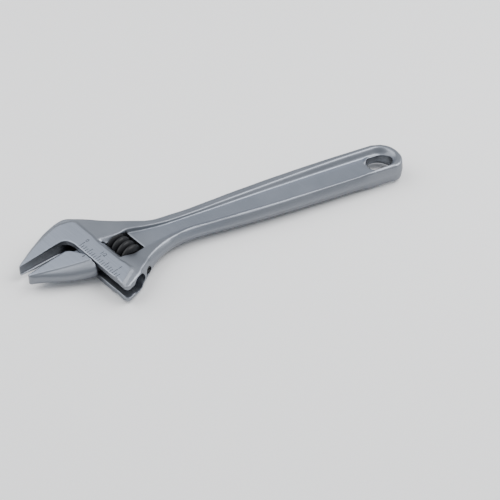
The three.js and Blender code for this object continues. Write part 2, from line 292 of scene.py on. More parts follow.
# ---- The body's outline at mid thickness -------------------------------------------------------------
# (x, y) along the handle's edges, round its tip, and along the necks out to the head.
FAR_EDGE = [(-22, 12.2), (-40, 12.2), (-58, 11.9), (-78, 11), (-96, 9.8), (-107, 9.2)]
NEAR_EDGE = [(-22, -9.9), (-40, -9.9), (-58, -9.7), (-78, -9), (-96, -7.8), (-107, -7.4)]
NEAR_NECK = [(-115, -8.3), (-121, -10.3), (-127, -13.5), (-133, -18), (-138, -22.6), (-143, -27.2)]
FAR_NECK = [(-150, 22.0), (-145, 18.7), (-140, 15.8), (-135, 13.4), (-129, 11.2), (-121, 9.5)]
HANDLE_TIP = [
    (2, -10), (5.6, -9.8), (8.4, -8.8), (10.5, -6.4), (11.75, -3), (11.95, 0), (11.6, 3.4), (10.1, 7),
    (7, 10.2),
]
TIP_TO_FAR_EDGE = (2, 12)
# (forward, down) along the fixed jaw's back, round the head's lower corner, and from the slide face to the
# fixed jaw's face.
JAW_BACK = [(25, -2.2), (19, -5.6), (12, -9), (5, -11.6), (-2, -13), (-7, -12.6), (-11, -9.4)]
LOWER_CORNER = [(-6.6, 45.2), (-2.4, 46.3), (-0.9, 46), (-0.1, 45)]
SLIDE_FACE = [(0, 44), (0, 6.4)]
THROAT = [(0.1, 5.2), (1.1, 2.2), (3.2, 0.5), (5.4, 0)]
JAW_TIP = [(JAW_REACH, 0), (JAW_REACH, -0.7)]


def body_outline():
    near_side = smooth([*HANDLE_TIP[::-1], *NEAR_EDGE, *NEAR_NECK])
    head = from_head([*LOWER_CORNER, *SLIDE_FACE, *smooth(THROAT), *JAW_TIP])
    far_side = smooth([*from_head(JAW_BACK), *FAR_NECK, *FAR_EDGE[::-1], TIP_TO_FAR_EDGE])
    return near_side + head + far_side


def hang_hole(x, y):
    return np.hypot(np.maximum(np.abs(x - HOLE_X) - HOLE_REACH, 0), y - HOLE_Y) - HOLE_RADIUS


# ---- The body's thickness ----------------------------------------------------------------------------
# (forward, down) round the ground land: the fixed jaw's side, and the strip along the slide face.
LAND = [
    (27.9, 0.2), (25.7, -0.9), (15.6, -5.4), (9, -7.5), (3.8, -8.9), (0.1, -9.5), (-2.6, -9.3), (-6, -8.2),
    (-8.2, -6.9), (-9, -5.2), (-9, 8), (-8.4, 12), (-8.4, 30), (-9, 33), (-9, 37.2), (-8.3, 38.3),
    (0.3, 42.8),
]
LAND_FILLED = [*LAND, (3, 44), (3, 9), (9, 3), (27.9, 3)]
# The bevel from the land down to the cheek is wider at the strip's lower end.
BEVEL_WIDTH, BEVEL_EXTRA, BEVEL_WIDENS = 1.2, 0.8, (34, 38)

# (x, half thickness) of the forging without its panel, and of the panel's floor.
HANDLE_HALF = [
    (-200, 5.5), (-175, 5.5), (-157, 5.5), (-147, 5.5), (-140, 5.5), (-133, 5.35), (-126, 4.9), (-118, 4.4),
    (-110, 4.1), (-100, 4.05), (-88, 4.2), (-60, 4.5), (-25, 5.1), (-5, 5.25), (30, 5.25),
]
PANEL_FLOOR = [
    (-160, 3.3), (-145, 3.3), (-132, 3.3), (-120, 3.05), (-105, 2.8), (-80, 2.5), (-40, 2.2), (30, 2.2),
]
# (x, distance from the x axis) where the panel's far wall ends at the rim, and (x, width) of that wall.
FAR_WALL_TOP = [
    (-156, 6.5), (-150.5, 5.8), (-144, 5.1), (-140, 5.4), (-136.5, 6.3), (-129, 5.1), (-124, 4.6),
    (-118, 4.3), (-110, 4.6), (-101, 5.1), (-92, 5.7), (-78, 6.7), (-58, 7.8), (-30, 8.8), (-8, 9.2),
    (30, 9.3),
]
FAR_WALL = [
    (-156, 4), (-150, 3.4), (-144, 2.2), (-138, 1.4), (-130, 0.9), (-118, 0.8), (-105, 1.0), (-90, 1.5),
    (-70, 2.1), (-30, 2.7), (-8, 2.9), (30, 2.9),
]
# (x, distance from the x axis) where the near wall starts at the floor, and (x, width) of that wall.
NEAR_FLOOR = [
    (-156, 14), (-147, 12), (-142, 10.5), (-132.2, 7.6), (-125, 5.7), (-117.5, 4.2), (-108.7, 3.2),
    (-101, 3.4), (-92, 3.8), (-78, 4.2), (-58, 4.9), (-30, 5.6), (-8, 5.6), (8, 4.6), (30, 4.6),
]
NEAR_WALL = [
    (-160, 14), (-140, 13), (-132, 11), (-125, 7.5), (-117, 3.5), (-108, 1.9), (-95, 2), (-70, 2.3),
    (-8, 2.4), (8, 2.8), (30, 2.8),
]
# The scoop behind the land goes down to the panel's floor between these two, measured forward.
FAR_SCOOP, NEAR_SCOOP = (-9.3, -11.6), (-10.2, -19.5)
# The near wall's mask gives way to the far wall's between these two y, further apart at the handle's end.
SIDES_BLEND, SIDES_BLEND_AT_END, BLEND_WIDENS = (-0.5, 3.5), (-6.5, 6.5), (-2, 6)
# The lip beside the hang hole: how far it reaches from the hole, and where it comes in along x and along y.
LIP_HEIGHT, LIP_REACH = 0.6, (0.3, 2)
LIP_X, LIP_NEAR_Y, LIP_FAR_Y = (-1, -5), (1.5, 4), (8.5, 6.5)


def land_height(a):
    """Half thickness over the lands."""
    return HEAD_HALF - np.maximum(a - LAND_BACK, 0) * LAND_SLOPE


def panel_mask(x, y, a):
    """1 over the panel's floor and the scoop, 0 over the rim, with a different wall on either side."""
    round_end = np.hypot(np.maximum(x - END_X, 0), y - HANDLE_MIDDLE)
    far, near = round_end + HANDLE_MIDDLE, round_end - HANDLE_MIDDLE
    wall_top, floor_edge = along(x, FAR_WALL_TOP), along(x, NEAR_FLOOR)
    far_mask = 1 - ease(far, wall_top - along(x, FAR_WALL), wall_top)
    near_mask = 1 - ramp(near, floor_edge, floor_edge + along(x, NEAR_WALL))
    far_mask = far_mask * ease(a, *FAR_SCOOP)
    near_mask = near_mask * ease(a, *NEAR_SCOOP)
    spread = ease(x, *BLEND_WIDENS)
    low, high = (s + (e - s) * spread for s, e in zip(SIDES_BLEND, SIDES_BLEND_AT_END))
    return near_mask + (far_mask - near_mask) * ease(y, low, high)


def body_height(x, y):
    """Half thickness over the wrench's plane: lands, bevels, cheeks, the scoop round the worm, the panel."""
    a, b = to_head(x, y)
    bevel = BEVEL_WIDTH + BEVEL_EXTRA * ease(b, *BEVEL_WIDENS)
    step = (HEAD_HALF - CHEEK_HALF) * ramp(polygon(LAND_FILLED, a, b), 0, bevel)
    rim = land_height(a) - step + along(x, HANDLE_HALF) - CHEEK_HALF
    mask = panel_mask(x, y, a)
    height = rim + (along(x, PANEL_FLOOR) - rim) * mask
    lip = (1 - ease(hang_hole(x, y), *LIP_REACH)) * ease(x, *LIP_X)
    lip = lip * ease(y, *LIP_NEAR_Y) * ease(y, *LIP_FAR_Y)
    return height + LIP_HEIGHT * lip * mask


# ---- The body's flanks -------------------------------------------------------------------------------
# The radius between flank and upper side: (forward, down, radius) on the head, (x, y, radius) elsewhere.
HEAD_ROUNDING = [
    (0, 45, 0.4), (0, 30, 0.2), (0, 10, 0.2), (10, 0, 0.2), (20, 0, 0.2), (27.5, -0.3, 0.3), (20, -5, 0.8),
    (10, -9.5, 1), (0, -12.8, 1.1), (-8, -12, 1.2), (-3, 46.4, 1), (-9, 43, 1.3),
]
HANDLE_ROUNDING = 1.1
NECK_ROUNDING = [
    (-115, -8.3, 0.6), (-122, -10.8, 0.6), (-130, -15.8, 0.6), (-138, -22.6, 0.8), (-150, 22, 1.2),
    (-140, 16, 1.2), (-130, 11.6, 1.2), (-120, 9.3, 1.2),
]
# How far in from the outline the flank's upper edge stands, in the same way.
HEAD_LEAN = [
    (0, 45, 0), (0, 30, 0), (0, 10, 0), (10, 0, 0), (20, 0, 0), (27.5, -0.3, 0), (10, -9.5, 0.3),
    (0, -12.8, 0.3), (-5, 46.4, 0.6), (-9, 43, 0.9),
]
NEAR_EDGE_LEAN, FAR_EDGE_LEAN = 2.1, 0.4
TIP_AND_NECK_LEAN = [
    (0, -10, 1.2), (8, -9, 0.6), (12, 0, 0.3), (0, 12, 0.4), (-115, -8.3, 2), (-122, -10.8, 2.4),
    (-130, -15.8, 2.4), (-138, -22.6, 1.8), (-140, 16, 0.4),
]
LEAN_CURVE = 1.4


def head_spots(spots):
    """Spots given in the head's plane, in the wrench's axes."""
    places = from_head([spot[:2] for spot in spots])
    return [(x, y, spot[2]) for (x, y), spot in zip(places, spots)]


def edge_rounding(x, y):
    spots = head_spots(HEAD_ROUNDING)
    spots += [(x0, y0, HANDLE_ROUNDING) for x0, y0 in (*NEAR_EDGE, *FAR_EDGE, (HANDLE_END, 0))]
    return weighted(x, y, spots + NECK_ROUNDING)


def flank_lean(x, y):
    spots = head_spots(HEAD_LEAN)
    spots += [(x0, y0, NEAR_EDGE_LEAN) for x0, y0 in NEAR_EDGE]
    spots += [(x0, y0, FAR_EDGE_LEAN) for x0, y0 in FAR_EDGE]
    return weighted(x, y, spots + TIP_AND_NECK_LEAN)


# ---- The forged body ---------------------------------------------------------------------------------
# "Edge" is the rounding of an outer edge, "fillet" that of an inner corner, and "play" the room round the
# screw.
BODY_TRIANGLES = 190000
BODY_STEP, BODY_QUICK_STEP = 0.28, 0.448
PLAIN_STEP, PLAIN_QUICK_STEP = 0.6, 0.96
PLAIN_FROM, PLAIN_TO = (-118, -100), (-30, -16)
BODY_START, BODY_NEAR, BODY_FAR, BODY_MARGIN = -192.0, -34, 28.5, 1
SLOT_EDGE, BORE_EDGE, WINDOW_EDGE, PIN_EDGE, RECESS_EDGE, HOLE_EDGE = 0.15, 0.3, 0.35, 0.2, 0.25, 0.45
WINDOW_CORNER = 0.8
PIN_PLAY, RECESS_PLAY = 0.1, 0.15


def body_lines(fine):
    """Grid lines along x: fine over the head and the hang hole, further apart over the plain handle."""
    wider = grid_step(PLAIN_STEP) - fine
    lines = [BODY_START]
    while lines[-1] < HANDLE_END + BODY_MARGIN:
        x = lines[-1]
        lines.append(x + fine + wider * ease(x, *PLAIN_FROM) - wider * ease(x, *PLAIN_TO))
    return np.array(lines)


def head_hollows(a, b, z):
    """The spaces for the jaw's neck and rail, the worm and the screw, each with its edges' rounding."""
    slot = np.maximum(np.maximum(z - SLOT_HALF, RAIL_BACK - a), SLOT_TOP - b)
    bore = np.maximum(bar(a, z, RAIL_BACK, BORE_RADIUS), BORE_TOP - b)
    window = rounded_box(a, b, (WINDOW_BACK, WINDOW_FRONT), (WINDOW_TOP, WINDOW_END), WINDOW_CORNER)
    pin = np.maximum(bar(a, z, WORM_BACK, SCREW_RADIUS + PIN_PLAY), SCREW_TOP - b)
    recess = np.maximum(bar(a, z, WORM_BACK, SCREW_HEAD_RADIUS + RECESS_PLAY), SCREW_HEAD_TOP - GAP - b)
    hollows = slot, bore, window, pin, recess
    return zip(hollows, (SLOT_EDGE, BORE_EDGE, WINDOW_EDGE, PIN_EDGE, RECESS_EDGE))


def body_field(x, y, z):
    """The body's field above mid thickness. The lower half mirrors it."""
    height = body_height(x, y)[:, :, None]
    outline = polygon(body_outline(), x, y)[:, :, None]
    lean = flank_lean(x, y)[:, :, None] * (z / height) ** LEAN_CURVE
    field = meet(outline + lean, z - height, edge_rounding(x, y)[:, :, None])
    a, b = to_head(x, y)
    for hollow, rounding in head_hollows(a[:, :, None], b[:, :, None], z):
        field = cut(field, hollow, rounding)
    return cut(field, hang_hole(x, y)[:, :, None], HOLE_EDGE)


def make_body():
    fine = grid_step(BODY_STEP)
    xs, ys = body_lines(fine), np.arange(BODY_NEAR, BODY_FAR, fine)
    zs = mirrored_lines(HEAD_HALF + BODY_MARGIN, fine)
    half = zs[len(zs) // 2:]
    field = body_field(xs[:, None], ys[None, :], half[None, None, :])
    body = surface("wrench_body", np.concatenate([field[:, :, ::-1], field], axis=2), xs, ys, zs)
    thin_out(body, BODY_TRIANGLES)
    engrave(body, scale_cutter())
    mark_body(body)
    return body


# ---- Engraving ---------------------------------------------------------------------------------------
MARK_DEPTH, MARK_HALF = 0.14, 0.15
CUTTER_RISE = 1.0
INK_STARTS, INK_FULL = 0.3 * MARK_DEPTH, 0.8 * MARK_DEPTH

# Ticks stand a sixteenth of an inch apart, and every second and every fourth one is longer. The lengths
# and the figures go by the tick's number.
SCALE_START = 8.8
LAST_TICK = 18
TICK_START = -0.5
TICK_LENGTHS = {4: 3.7, 2: 3.1, 1: 2.6}
DOT_OVERLAP, DOT_REACH, DOT_HALF = 0.1, 0.35, 1.6 * MARK_HALF
FIGURES = {0: "0", 8: "1/2", 16: "1"}
FIGURE_SIZE, FIGURE_BASE = 3.0, -4.7
FIGURE_HALF, FIGURE_CURVE_STEPS, FIGURE_WELD = 0.5, 3, 0.001

# How far off the land's own surface still counts as ground, where the scale's ink may lie, and where the
# grinding of the panel's floor fades out.
FLUSH = 0.06
STRIP_FORWARD, STRIP_DOWN = (LAND_BACK + 1, -0.4), (6, 39)
PANEL_GRIND = 0.6
PANEL_DEPTH_FADE, PANEL_HOLE_FADE = (0.1, 0.5), (0.5, 2)
PANEL_NECK_FADE, PANEL_SIDE_FADE = (-140, -120), (6.5, 8.5)


def scale_cutter():
    """What the scale takes away: a tick each sixteenth inch, a dot each quarter, a figure each half."""
    made = bmesh.new()
    for step in range(LAST_TICK + 1):
        middle = SCALE_START + step * INCH / 16
        longest = max(every for every in TICK_LENGTHS if step % every == 0)
        length = TICK_LENGTHS[longest]
        add_bar(made, (TICK_START, middle), (-length, middle), MARK_HALF)
        if longest == max(TICK_LENGTHS):
            add_bar(made, (-length + DOT_OVERLAP, middle), (-length - DOT_REACH, middle), DOT_HALF)
        if step in FIGURES:
            add_figure(made, FIGURES[step], middle)
    return cutter_object(made, WRENCH_AXES.inverted() @ HEAD_AXES)


def add_bar(made, start, end, half):
    """A narrow bar across the land, from the engraving's floor to well above the land."""
    (a0, b0), (a1, b1) = start, end
    corners = [(a0, b0 - half), (a1, b1 - half), (a1, b1 + half), (a0, b0 + half)]
    rows = []
    for lift in (-MARK_DEPTH, CUTTER_RISE):
        rows.append([made.verts.new((*corner, land_height(corner[0]) + lift)) for corner in corners])
    low, high = rows
    made.faces.new(low)
    made.faces.new(high[::-1])
    for k, after in enumerate((1, 2, 3, 0)):
        made.faces.new((low[after], low[k], high[k], high[after]))


def add_figure(made, text, middle):
    """A figure in the built-in font, its top away from the slide face, as deep as the ticks."""
    curve = bpy.data.curves.new("figure", "FONT")
    curve.body, curve.size, curve.align_x = text, FIGURE_SIZE, "CENTER"
    curve.resolution_u, curve.extrude = FIGURE_CURVE_STEPS, FIGURE_HALF
    lettering = bpy.data.objects.new("figure", curve)
    first = len(made.verts)
    made.from_mesh(lettering.to_mesh())
    made.verts.ensure_lookup_table()
    added = made.verts[first:]
    for vertex in added:
        x, y, z = vertex.co
        a, b = FIGURE_BASE - y, middle + x
        vertex.co = (a, b, land_height(a) + z + FIGURE_HALF - MARK_DEPTH)
    bmesh.ops.remove_doubles(made, verts=added, dist=FIGURE_WELD)
    bpy.data.objects.remove(lettering)


def cutter_object(made, axes):
    """The cutter drawn in the head's axes, carried to the axes of the piece it cuts."""
    mesh = bpy.data.meshes.new("cutter")
    made.to_mesh(mesh)
    made.free()
    mesh.transform(axes)
    cutter = bpy.data.objects.new("cutter", mesh)
    bpy.context.scene.collection.objects.link(cutter)
    return cutter


def engrave(piece, cutter):
    cut_away = piece.modifiers.new("engrave", "BOOLEAN")
    cut_away.operation, cut_away.solver, cut_away.object = "DIFFERENCE", "MANIFOLD", cutter
    apply_modifiers(piece)
    bpy.data.objects.remove(cutter)


def flush(a, z):
    """Whether a point lies on the land's own surface, on either side."""
    return np.abs(land_height(a) - np.abs(z)) < FLUSH


def ink(a, z):
    """How far into an engraved mark a point lies."""
    return (z > 0) * ramp(land_height(a) - z, INK_STARTS, INK_FULL)


def mark_body(body):
    """The lands are ground, the panel's floor is partly ground, and the scale is inked."""
    x, y, z = vertices(body)
    a, b = to_head(x, y)
    on_land = (polygon(LAND_FILLED, a, b) < 0) & flush(a, z)
    on_panel = 1 - ease(np.abs(z) - along(x, PANEL_FLOOR), *PANEL_DEPTH_FADE)
    on_panel = on_panel * ease(hang_hole(x, y), *PANEL_HOLE_FADE) * ease(x, *PANEL_NECK_FADE)
    on_panel = on_panel * (1 - ease(np.abs(y), *PANEL_SIDE_FADE))
    mark(body, "ground", np.where(on_land, 1, PANEL_GRIND * on_panel))
    on_strip = (slab(a, *STRIP_FORWARD) < 0) & (slab(b, *STRIP_DOWN) < 0)
    mark(body, "inked", on_strip * ink(a, z))


# ---- The worm ----------------------------------------------------------------------------------------
WORM_STEP, WORM_QUICK_STEP = 0.16, 0.26
THREAD_FULLNESS = 2.2
THREAD_FIELD_SLOPE = 0.7
WORM_BEVEL, WORM_EDGE, WORM_HOLE_EDGE = 0.5, 0.3, 0.2
WORM_PLAY = 0.2


def worm_thread(forward, down, z, grow=0.0):
    """Roughly the distance from the worm's thread, which has round crests and narrow valleys."""
    turn = np.arctan2(forward, z) / (2 * math.pi)
    phase = (down - WORM_TOP) / WORM_PITCH - turn
    off_crest = np.maximum(np.abs(phase - np.round(phase)) * WORM_PITCH - grow, 0)
    fall = THREAD_DEPTH * (2 * off_crest / WORM_PITCH) ** THREAD_FULLNESS
    return (np.hypot(forward, z) - WORM_RADIUS + fall - grow) * THREAD_FIELD_SLOPE


def make_worm():
    fine = grid_step(WORM_STEP)
    end = WORM_TOP + WORM_LENGTH
    across, down = mirrored_lines(WORM_RADIUS + 2 * fine, fine), grid_lines(WORM_TOP, end, fine)
    x, y, z = across[:, None, None], down[None, :, None], across[None, None, :]
    radius = np.hypot(x, z)
    bevel = (radius - WORM_RADIUS + WORM_BEVEL - np.minimum(y - WORM_TOP, end - y)) * math.sqrt(0.5)
    field = meet(worm_thread(x, y, z), slab(y, WORM_TOP, end), WORM_EDGE)
    field = meet(field, bevel, WORM_EDGE)
    field = cut(field, radius - SCREW_RADIUS - WORM_PLAY, WORM_HOLE_EDGE)
    field = cut(field, np.maximum(radius - POCKET_RADIUS, y - WORM_TOP - POCKET_DEPTH), WORM_EDGE)
    return surface("worm", field, across, down, across)


# ---- The sliding jaw ---------------------------------------------------------------------------------
JAW_STEP, JAW_QUICK_STEP = 0.24, 0.4
# (forward, down) along the land's lower ridge, along the belly's lowest line, and round the jaw's rear.
JAW_RIDGE = [(-2, 20.6), (2.6, 19.1), (9.5, 16.4), (17.4, 12.8), (24, 9.6), (27.6, 8)]
JAW_BELLY = [
    (-2, 25.5), (0.3, 25.1), (2, 24.9), (5, 23.8), (12, 20.1), (18, 15.9), (22, 12.7), (25, 10.6),
    (26.6, 9.5), (27.6, 8.8),
]
JAW_REAR_CURVE = [(6.2, 6.9), (4.3, 8.2), (2.3, 11.4), (0.8, 14.4), (0.3, 16)]
JAW_REAR, JAW_BELOW = 0.3, 27
JAW_SIDES = [
    (JAW_REACH, 14), (JAW_REACH, OPENING), *smooth(JAW_REAR_CURVE), (JAW_REAR, JAW_BELOW), (20, JAW_BELOW),
]
# (forward, down, radius) of the rounding between the jaw's sides and its lands and belly.
JAW_ROUNDING = [
    (27.5, 7, 0.4), (27.5, 9, 1), (17, 6.9, 0.35), (6, 6.9, 0.4), (1, 14, 0.5), (0.3, 18, 0.4),
    (0.3, 22, 0.3), (0.3, 25, 0.8),
]
BELLY_FULLNESS, LEAST_SLOPE = 2.15, 0.1
RIDGE_STEP = 0.5
RIDGE_FIELD_SLOPE = 0.92
RIDGE_EDGE, RIDGE_FILLET = 0.3, 0.6
NECK_FRONT, NECK_TOP, NECK_END, NECK_EDGE, NECK_FILLET = 3, OPENING + 0.4, 22.4, 0.5, 0.25
RAIL_EDGE, RAIL_FILLET = 0.5, 0.3
RACK_CLEARANCE, RACK_EDGE = 0.25, 0.15
INDEX_START, INDEX_END, INDEX_HALF = (2.5, 15.7), (1.3, 16), 0.28
INDEX_REACH = 1.5


def belly(a, b, z, step):
    """Distance from the sliding jaw's bellied side, which starts below the land's lower ridge."""
    ridge, lowest = along(a, JAW_RIDGE), along(a, JAW_BELLY)
    out = np.maximum(b - ridge, 0) / (lowest - ridge)
    up = np.abs(z) / (land_height(a) - RIDGE_STEP)
    value = (out ** BELLY_FULLNESS + up ** BELLY_FULLNESS) ** (1 / BELLY_FULLNESS) - 1
    slope = np.sqrt(sum(part ** 2 for part in np.gradient(value, step)))
    return value / np.maximum(slope, LEAST_SLOPE)


def jaw_field(a, b, z, step):
    """The jaw's lands and belly, its neck through the slot, and its rail with the rack cut in it."""
    sides = polygon(JAW_SIDES, a[:, :, 0], b[:, :, 0])[:, :, None]
    land = meet((b - along(a, JAW_RIDGE)) * RIDGE_FIELD_SLOPE, np.abs(z) - land_height(a), RIDGE_EDGE)
    block = join(land, belly(a, b, z, step), RIDGE_FILLET)
    block = meet(block, sides, weighted(a, b, JAW_ROUNDING))
    neck = meet(slab(a, RAIL_BACK, NECK_FRONT), slab(b, NECK_TOP, NECK_END), NECK_EDGE)
    neck = np.maximum(neck, np.abs(z) - SLOT_HALF + GAP)
    rail = meet(bar(a, z, RAIL_BACK, RAIL_RADIUS), slab(b, RAIL_TOP, RAIL_END), RAIL_EDGE)
    field = join(join(block, neck, NECK_FILLET), rail, RAIL_FILLET)
    return cut(field, worm_thread(a - WORM_BACK, b, z, RACK_CLEARANCE), RACK_EDGE)


def make_jaw():
    fine = grid_step(JAW_STEP)
    forward = grid_lines(RAIL_BACK - RAIL_RADIUS, JAW_REACH, fine)
    down = grid_lines(RAIL_TOP, RAIL_END, fine)
    across = mirrored_lines(HEAD_HALF, fine)
    field = jaw_field(forward[:, None, None], down[None, :, None], across[None, None, :], fine)
    jaw = surface("sliding_jaw", field, forward, down, across)
    index = bmesh.new()
    add_bar(index, INDEX_START, INDEX_END, INDEX_HALF)
    engrave(jaw, cutter_object(index, Matrix.Identity(4)))
    mark_jaw(jaw)
    return jaw


def mark_jaw(jaw):
    """The lands are ground, and the index mark is inked."""
    a, b, z = vertices(jaw)
    mark(jaw, "ground", (b < along(a, JAW_RIDGE)) & flush(a, z) & (a > 0))
    middle_a, middle_b = ((s + e) / 2 for s, e in zip(INDEX_START, INDEX_END))
    mark(jaw, "inked", (np.hypot(a - middle_a, b - middle_b) < INDEX_REACH) * ink(a, z))


# ---- Screw and spring --------------------------------------------------------------------------------
SCREW_STEP, SCREW_QUICK_STEP = 0.12, 0.2
SCREW_PITCH, SCREW_GROOVE_HALF = 0.8, 0.1
THREAD_STARTS = SCREW_HEAD_TOP + 0.5, SCREW_HEAD_TOP + 0.9
THREAD_STOPS = SCREW_END - 0.9, SCREW_END - 0.6
SHANK_END = SCREW_END - 1.5
SCREW_EDGE, SCREW_FILLET = 0.3, 0.2
DRIVER_SLOT_HALF, DRIVER_SLOT_DEPTH, DRIVER_SLOT_EDGE = 0.4, 0.9, 0.12

SPRING_TURN_STEPS, SPRING_SIDES = 64, 20
SPRING_EVEN_SHARE, SPRING_OPEN_PART = 0.72, (0.12, 0.88)


def make_screw():
    """A pin with a threaded, slotted head that fills its hole in the head's lower edge."""
    fine = grid_step(SCREW_STEP)
    across = mirrored_lines(SCREW_HEAD_RADIUS + MARGIN_STEPS * fine, fine)
    down = grid_lines(SCREW_TOP, SCREW_END, fine)
    x, y, z = across[:, None, None], down[None, :, None], across[None, None, :]
    radius = np.hypot(x, z)
    groove = SCREW_GROOVE_HALF * (1 - np.cos(2 * math.pi * y / SCREW_PITCH - np.arctan2(x, z)))
    threaded = ease(y, *THREAD_STARTS) * (1 - ease(y, *THREAD_STOPS))
    head = radius - SCREW_HEAD_RADIUS + groove * threaded
    head = meet(head, slab(y, SCREW_HEAD_TOP, SCREW_END), SCREW_EDGE)
    shank = meet(radius - SCREW_RADIUS, slab(y, SCREW_TOP, SHANK_END), SCREW_EDGE)
    driver = np.maximum(np.abs(z) - DRIVER_SLOT_HALF, SCREW_END - DRIVER_SLOT_DEPTH - y)
    field = cut(join(head, shank, SCREW_FILLET), driver, DRIVER_SLOT_EDGE)
    return surface("worm_screw_pin", field, across, down, across)


def make_spring():
    """A wire wound round the screw, with its first and last turns closer together than the middle ones."""
    first, last = WORM_TOP + SPRING_WIRE, WORM_TOP + POCKET_DEPTH - GAP - SPRING_WIRE
    per_turn = grid_step(SPRING_TURN_STEPS)
    sides = grid_step(SPRING_SIDES)
    t = np.linspace(0, 1, SPRING_TURNS * per_turn + 1)
    rise = SPRING_EVEN_SHARE * t + (1 - SPRING_EVEN_SHARE) * ease(t, *SPRING_OPEN_PART)
    angle = 2 * math.pi * SPRING_TURNS * t
    outward = np.stack([np.cos(angle), 0 * t, np.sin(angle)], 1)
    middle = SPRING_RADIUS * outward + np.stack([0 * t, first + (last - first) * rise, 0 * t], 1)
    tangent = np.gradient(middle, axis=0)
    tangent /= np.linalg.norm(tangent, axis=1)[:, None]
    side = np.cross(tangent, outward)
    rings = []
    for k in range(sides):
        phi = 2 * math.pi * k / sides
        rings.append(middle + SPRING_WIRE * (math.cos(phi) * outward + math.sin(phi) * side))
    rows = len(t)
    faces = [
        (r * sides + k, r * sides + (k + 1) % sides, (r + 1) * sides + (k + 1) % sides, (r + 1) * sides + k)
        for r in range(rows - 1) for k in range(sides)
    ]
    faces.append(tuple(range(sides))[::-1])
    faces.append(tuple((rows - 1) * sides + k for k in range(sides)))
    return new_piece("spring_wire", np.stack(rings, 1).reshape(-1, 3).tolist(), faces)


# ---- Materials ---------------------------------------------------------------------------------------
NOISE_RANGE = (0.3, 0.7)
OCCLUSION_SAMPLES = 8


class Surface:
    """A material under construction: a Principled shader and the nodes that feed it, in metres."""

    def __init__(self, name):
        self.material = bpy.data.materials.new(name)
        self.material.use_nodes = True
        self.tree = self.material.node_tree
        self.shader = self.tree.nodes["Principled BSDF"]
        self.place = self.node("ShaderNodeTexCoord").outputs["Object"]

    def node(self, kind, **settings):
        made = self.tree.nodes.new(kind)
        for key, value in settings.items():
            setattr(made, key, value)
        return made

    def feed(self, socket, value):
        if isinstance(value, bpy.types.NodeSocket):
            self.tree.links.new(value, socket)
        else:
            socket.default_value = value

    def set(self, **inputs):
        for name, value in inputs.items():
            self.feed(self.shader.inputs[name.replace("_", " ")], value)

    def math(self, operation, first, second=0.0):
        made = self.node("ShaderNodeMath", operation=operation)
        for socket, value in zip(made.inputs, (first, second)):
            self.feed(socket, value)
        return made.outputs[0]

    def times(self, first, second):
        return self.math("MULTIPLY", first, second)

    def span(self, value, low, high, to_low=0.0, to_high=1.0):
        """The value carried from one range to another and held inside it."""
        made = self.node("ShaderNodeMapRange")
        for socket, given in zip(made.inputs, (value, low, high, to_low, to_high)):
            self.feed(socket, given)
        return made.outputs[0]

    def mix(self, share, first, second):
        """Between two colours."""
        made = self.node("ShaderNodeMix", data_type="RGBA")
        self.feed(made.inputs["Factor"], share)
        self.feed(made.inputs["A"], first)
        self.feed(made.inputs["B"], second)
        return made.outputs["Result"]

    def patches(self, noise, first, second):
        """Between two colours, as the noise goes through most of its range."""
        return self.mix(self.span(noise, *NOISE_RANGE), first, second)

    def noise(self, size_mm, detail=2.0, stretch=(1, 1, 1), turn=0.0):
        """Noise whose features are about this size. "stretch" draws them out along turned axes."""
        mapping = self.node("ShaderNodeMapping", vector_type="TEXTURE")
        self.feed(mapping.inputs["Vector"], self.place)
        mapping.inputs["Rotation"].default_value = (0, 0, turn)
        mapping.inputs["Scale"].default_value = stretch
        made = self.node("ShaderNodeTexNoise")
        self.feed(made.inputs["Vector"], mapping.outputs["Vector"])
        made.inputs["Scale"].default_value = 1 / (size_mm * MM)
        made.inputs["Detail"].default_value = detail
        return made.outputs["Fac"]

    def attribute(self, name):
        return self.node("ShaderNodeAttribute", attribute_name=name).outputs["Fac"]

    def pointiness(self, low, high):
        """1 where the surface bends sharply: outwards when high is over low, inwards when it's under."""
        return self.span(self.node("ShaderNodeNewGeometry").outputs["Pointiness"], low, high)

    def flank(self, level, upright):
        """1 where the piece's own surface stands upright, 0 where it lies level."""
        split = self.node("ShaderNodeSeparateXYZ")
        self.feed(split.inputs[0], self.node("ShaderNodeTexCoord").outputs["Normal"])
        return self.span(self.math("ABSOLUTE", split.outputs["Z"]), level, upright)

    def recess(self, reach_mm, open_from, closed_at, most):
        """Painted shade: from 0 out in the open to the most deep inside a recess of the piece itself, by
        ambient occlusion.
        """
        made = self.node("ShaderNodeAmbientOcclusion", only_local=True, samples=OCCLUSION_SAMPLES)
        made.inputs["Distance"].default_value = reach_mm * MM
        return self.span(made.outputs["AO"], open_from, closed_at, 0.0, most)

    def bump(self, height, height_mm, under=None):
        made = self.node("ShaderNodeBump")
        made.inputs["Distance"].default_value = height_mm * MM
        self.feed(made.inputs["Height"], height)
        if under:
            self.feed(made.inputs["Normal"], under)
        return made.outputs["Normal"]


def grey(value, blue=1.0):
    """A grey whose blue is this many times its red, with its green about a third of the way between."""
    return (value, value * (0.65 + 0.35 * blue), value * blue, 1)


FORGED = grey(0.262, 1.23), grey(0.282, 1.21)
BRUSHED = grey(0.275, 1.33), grey(0.335, 1.3)
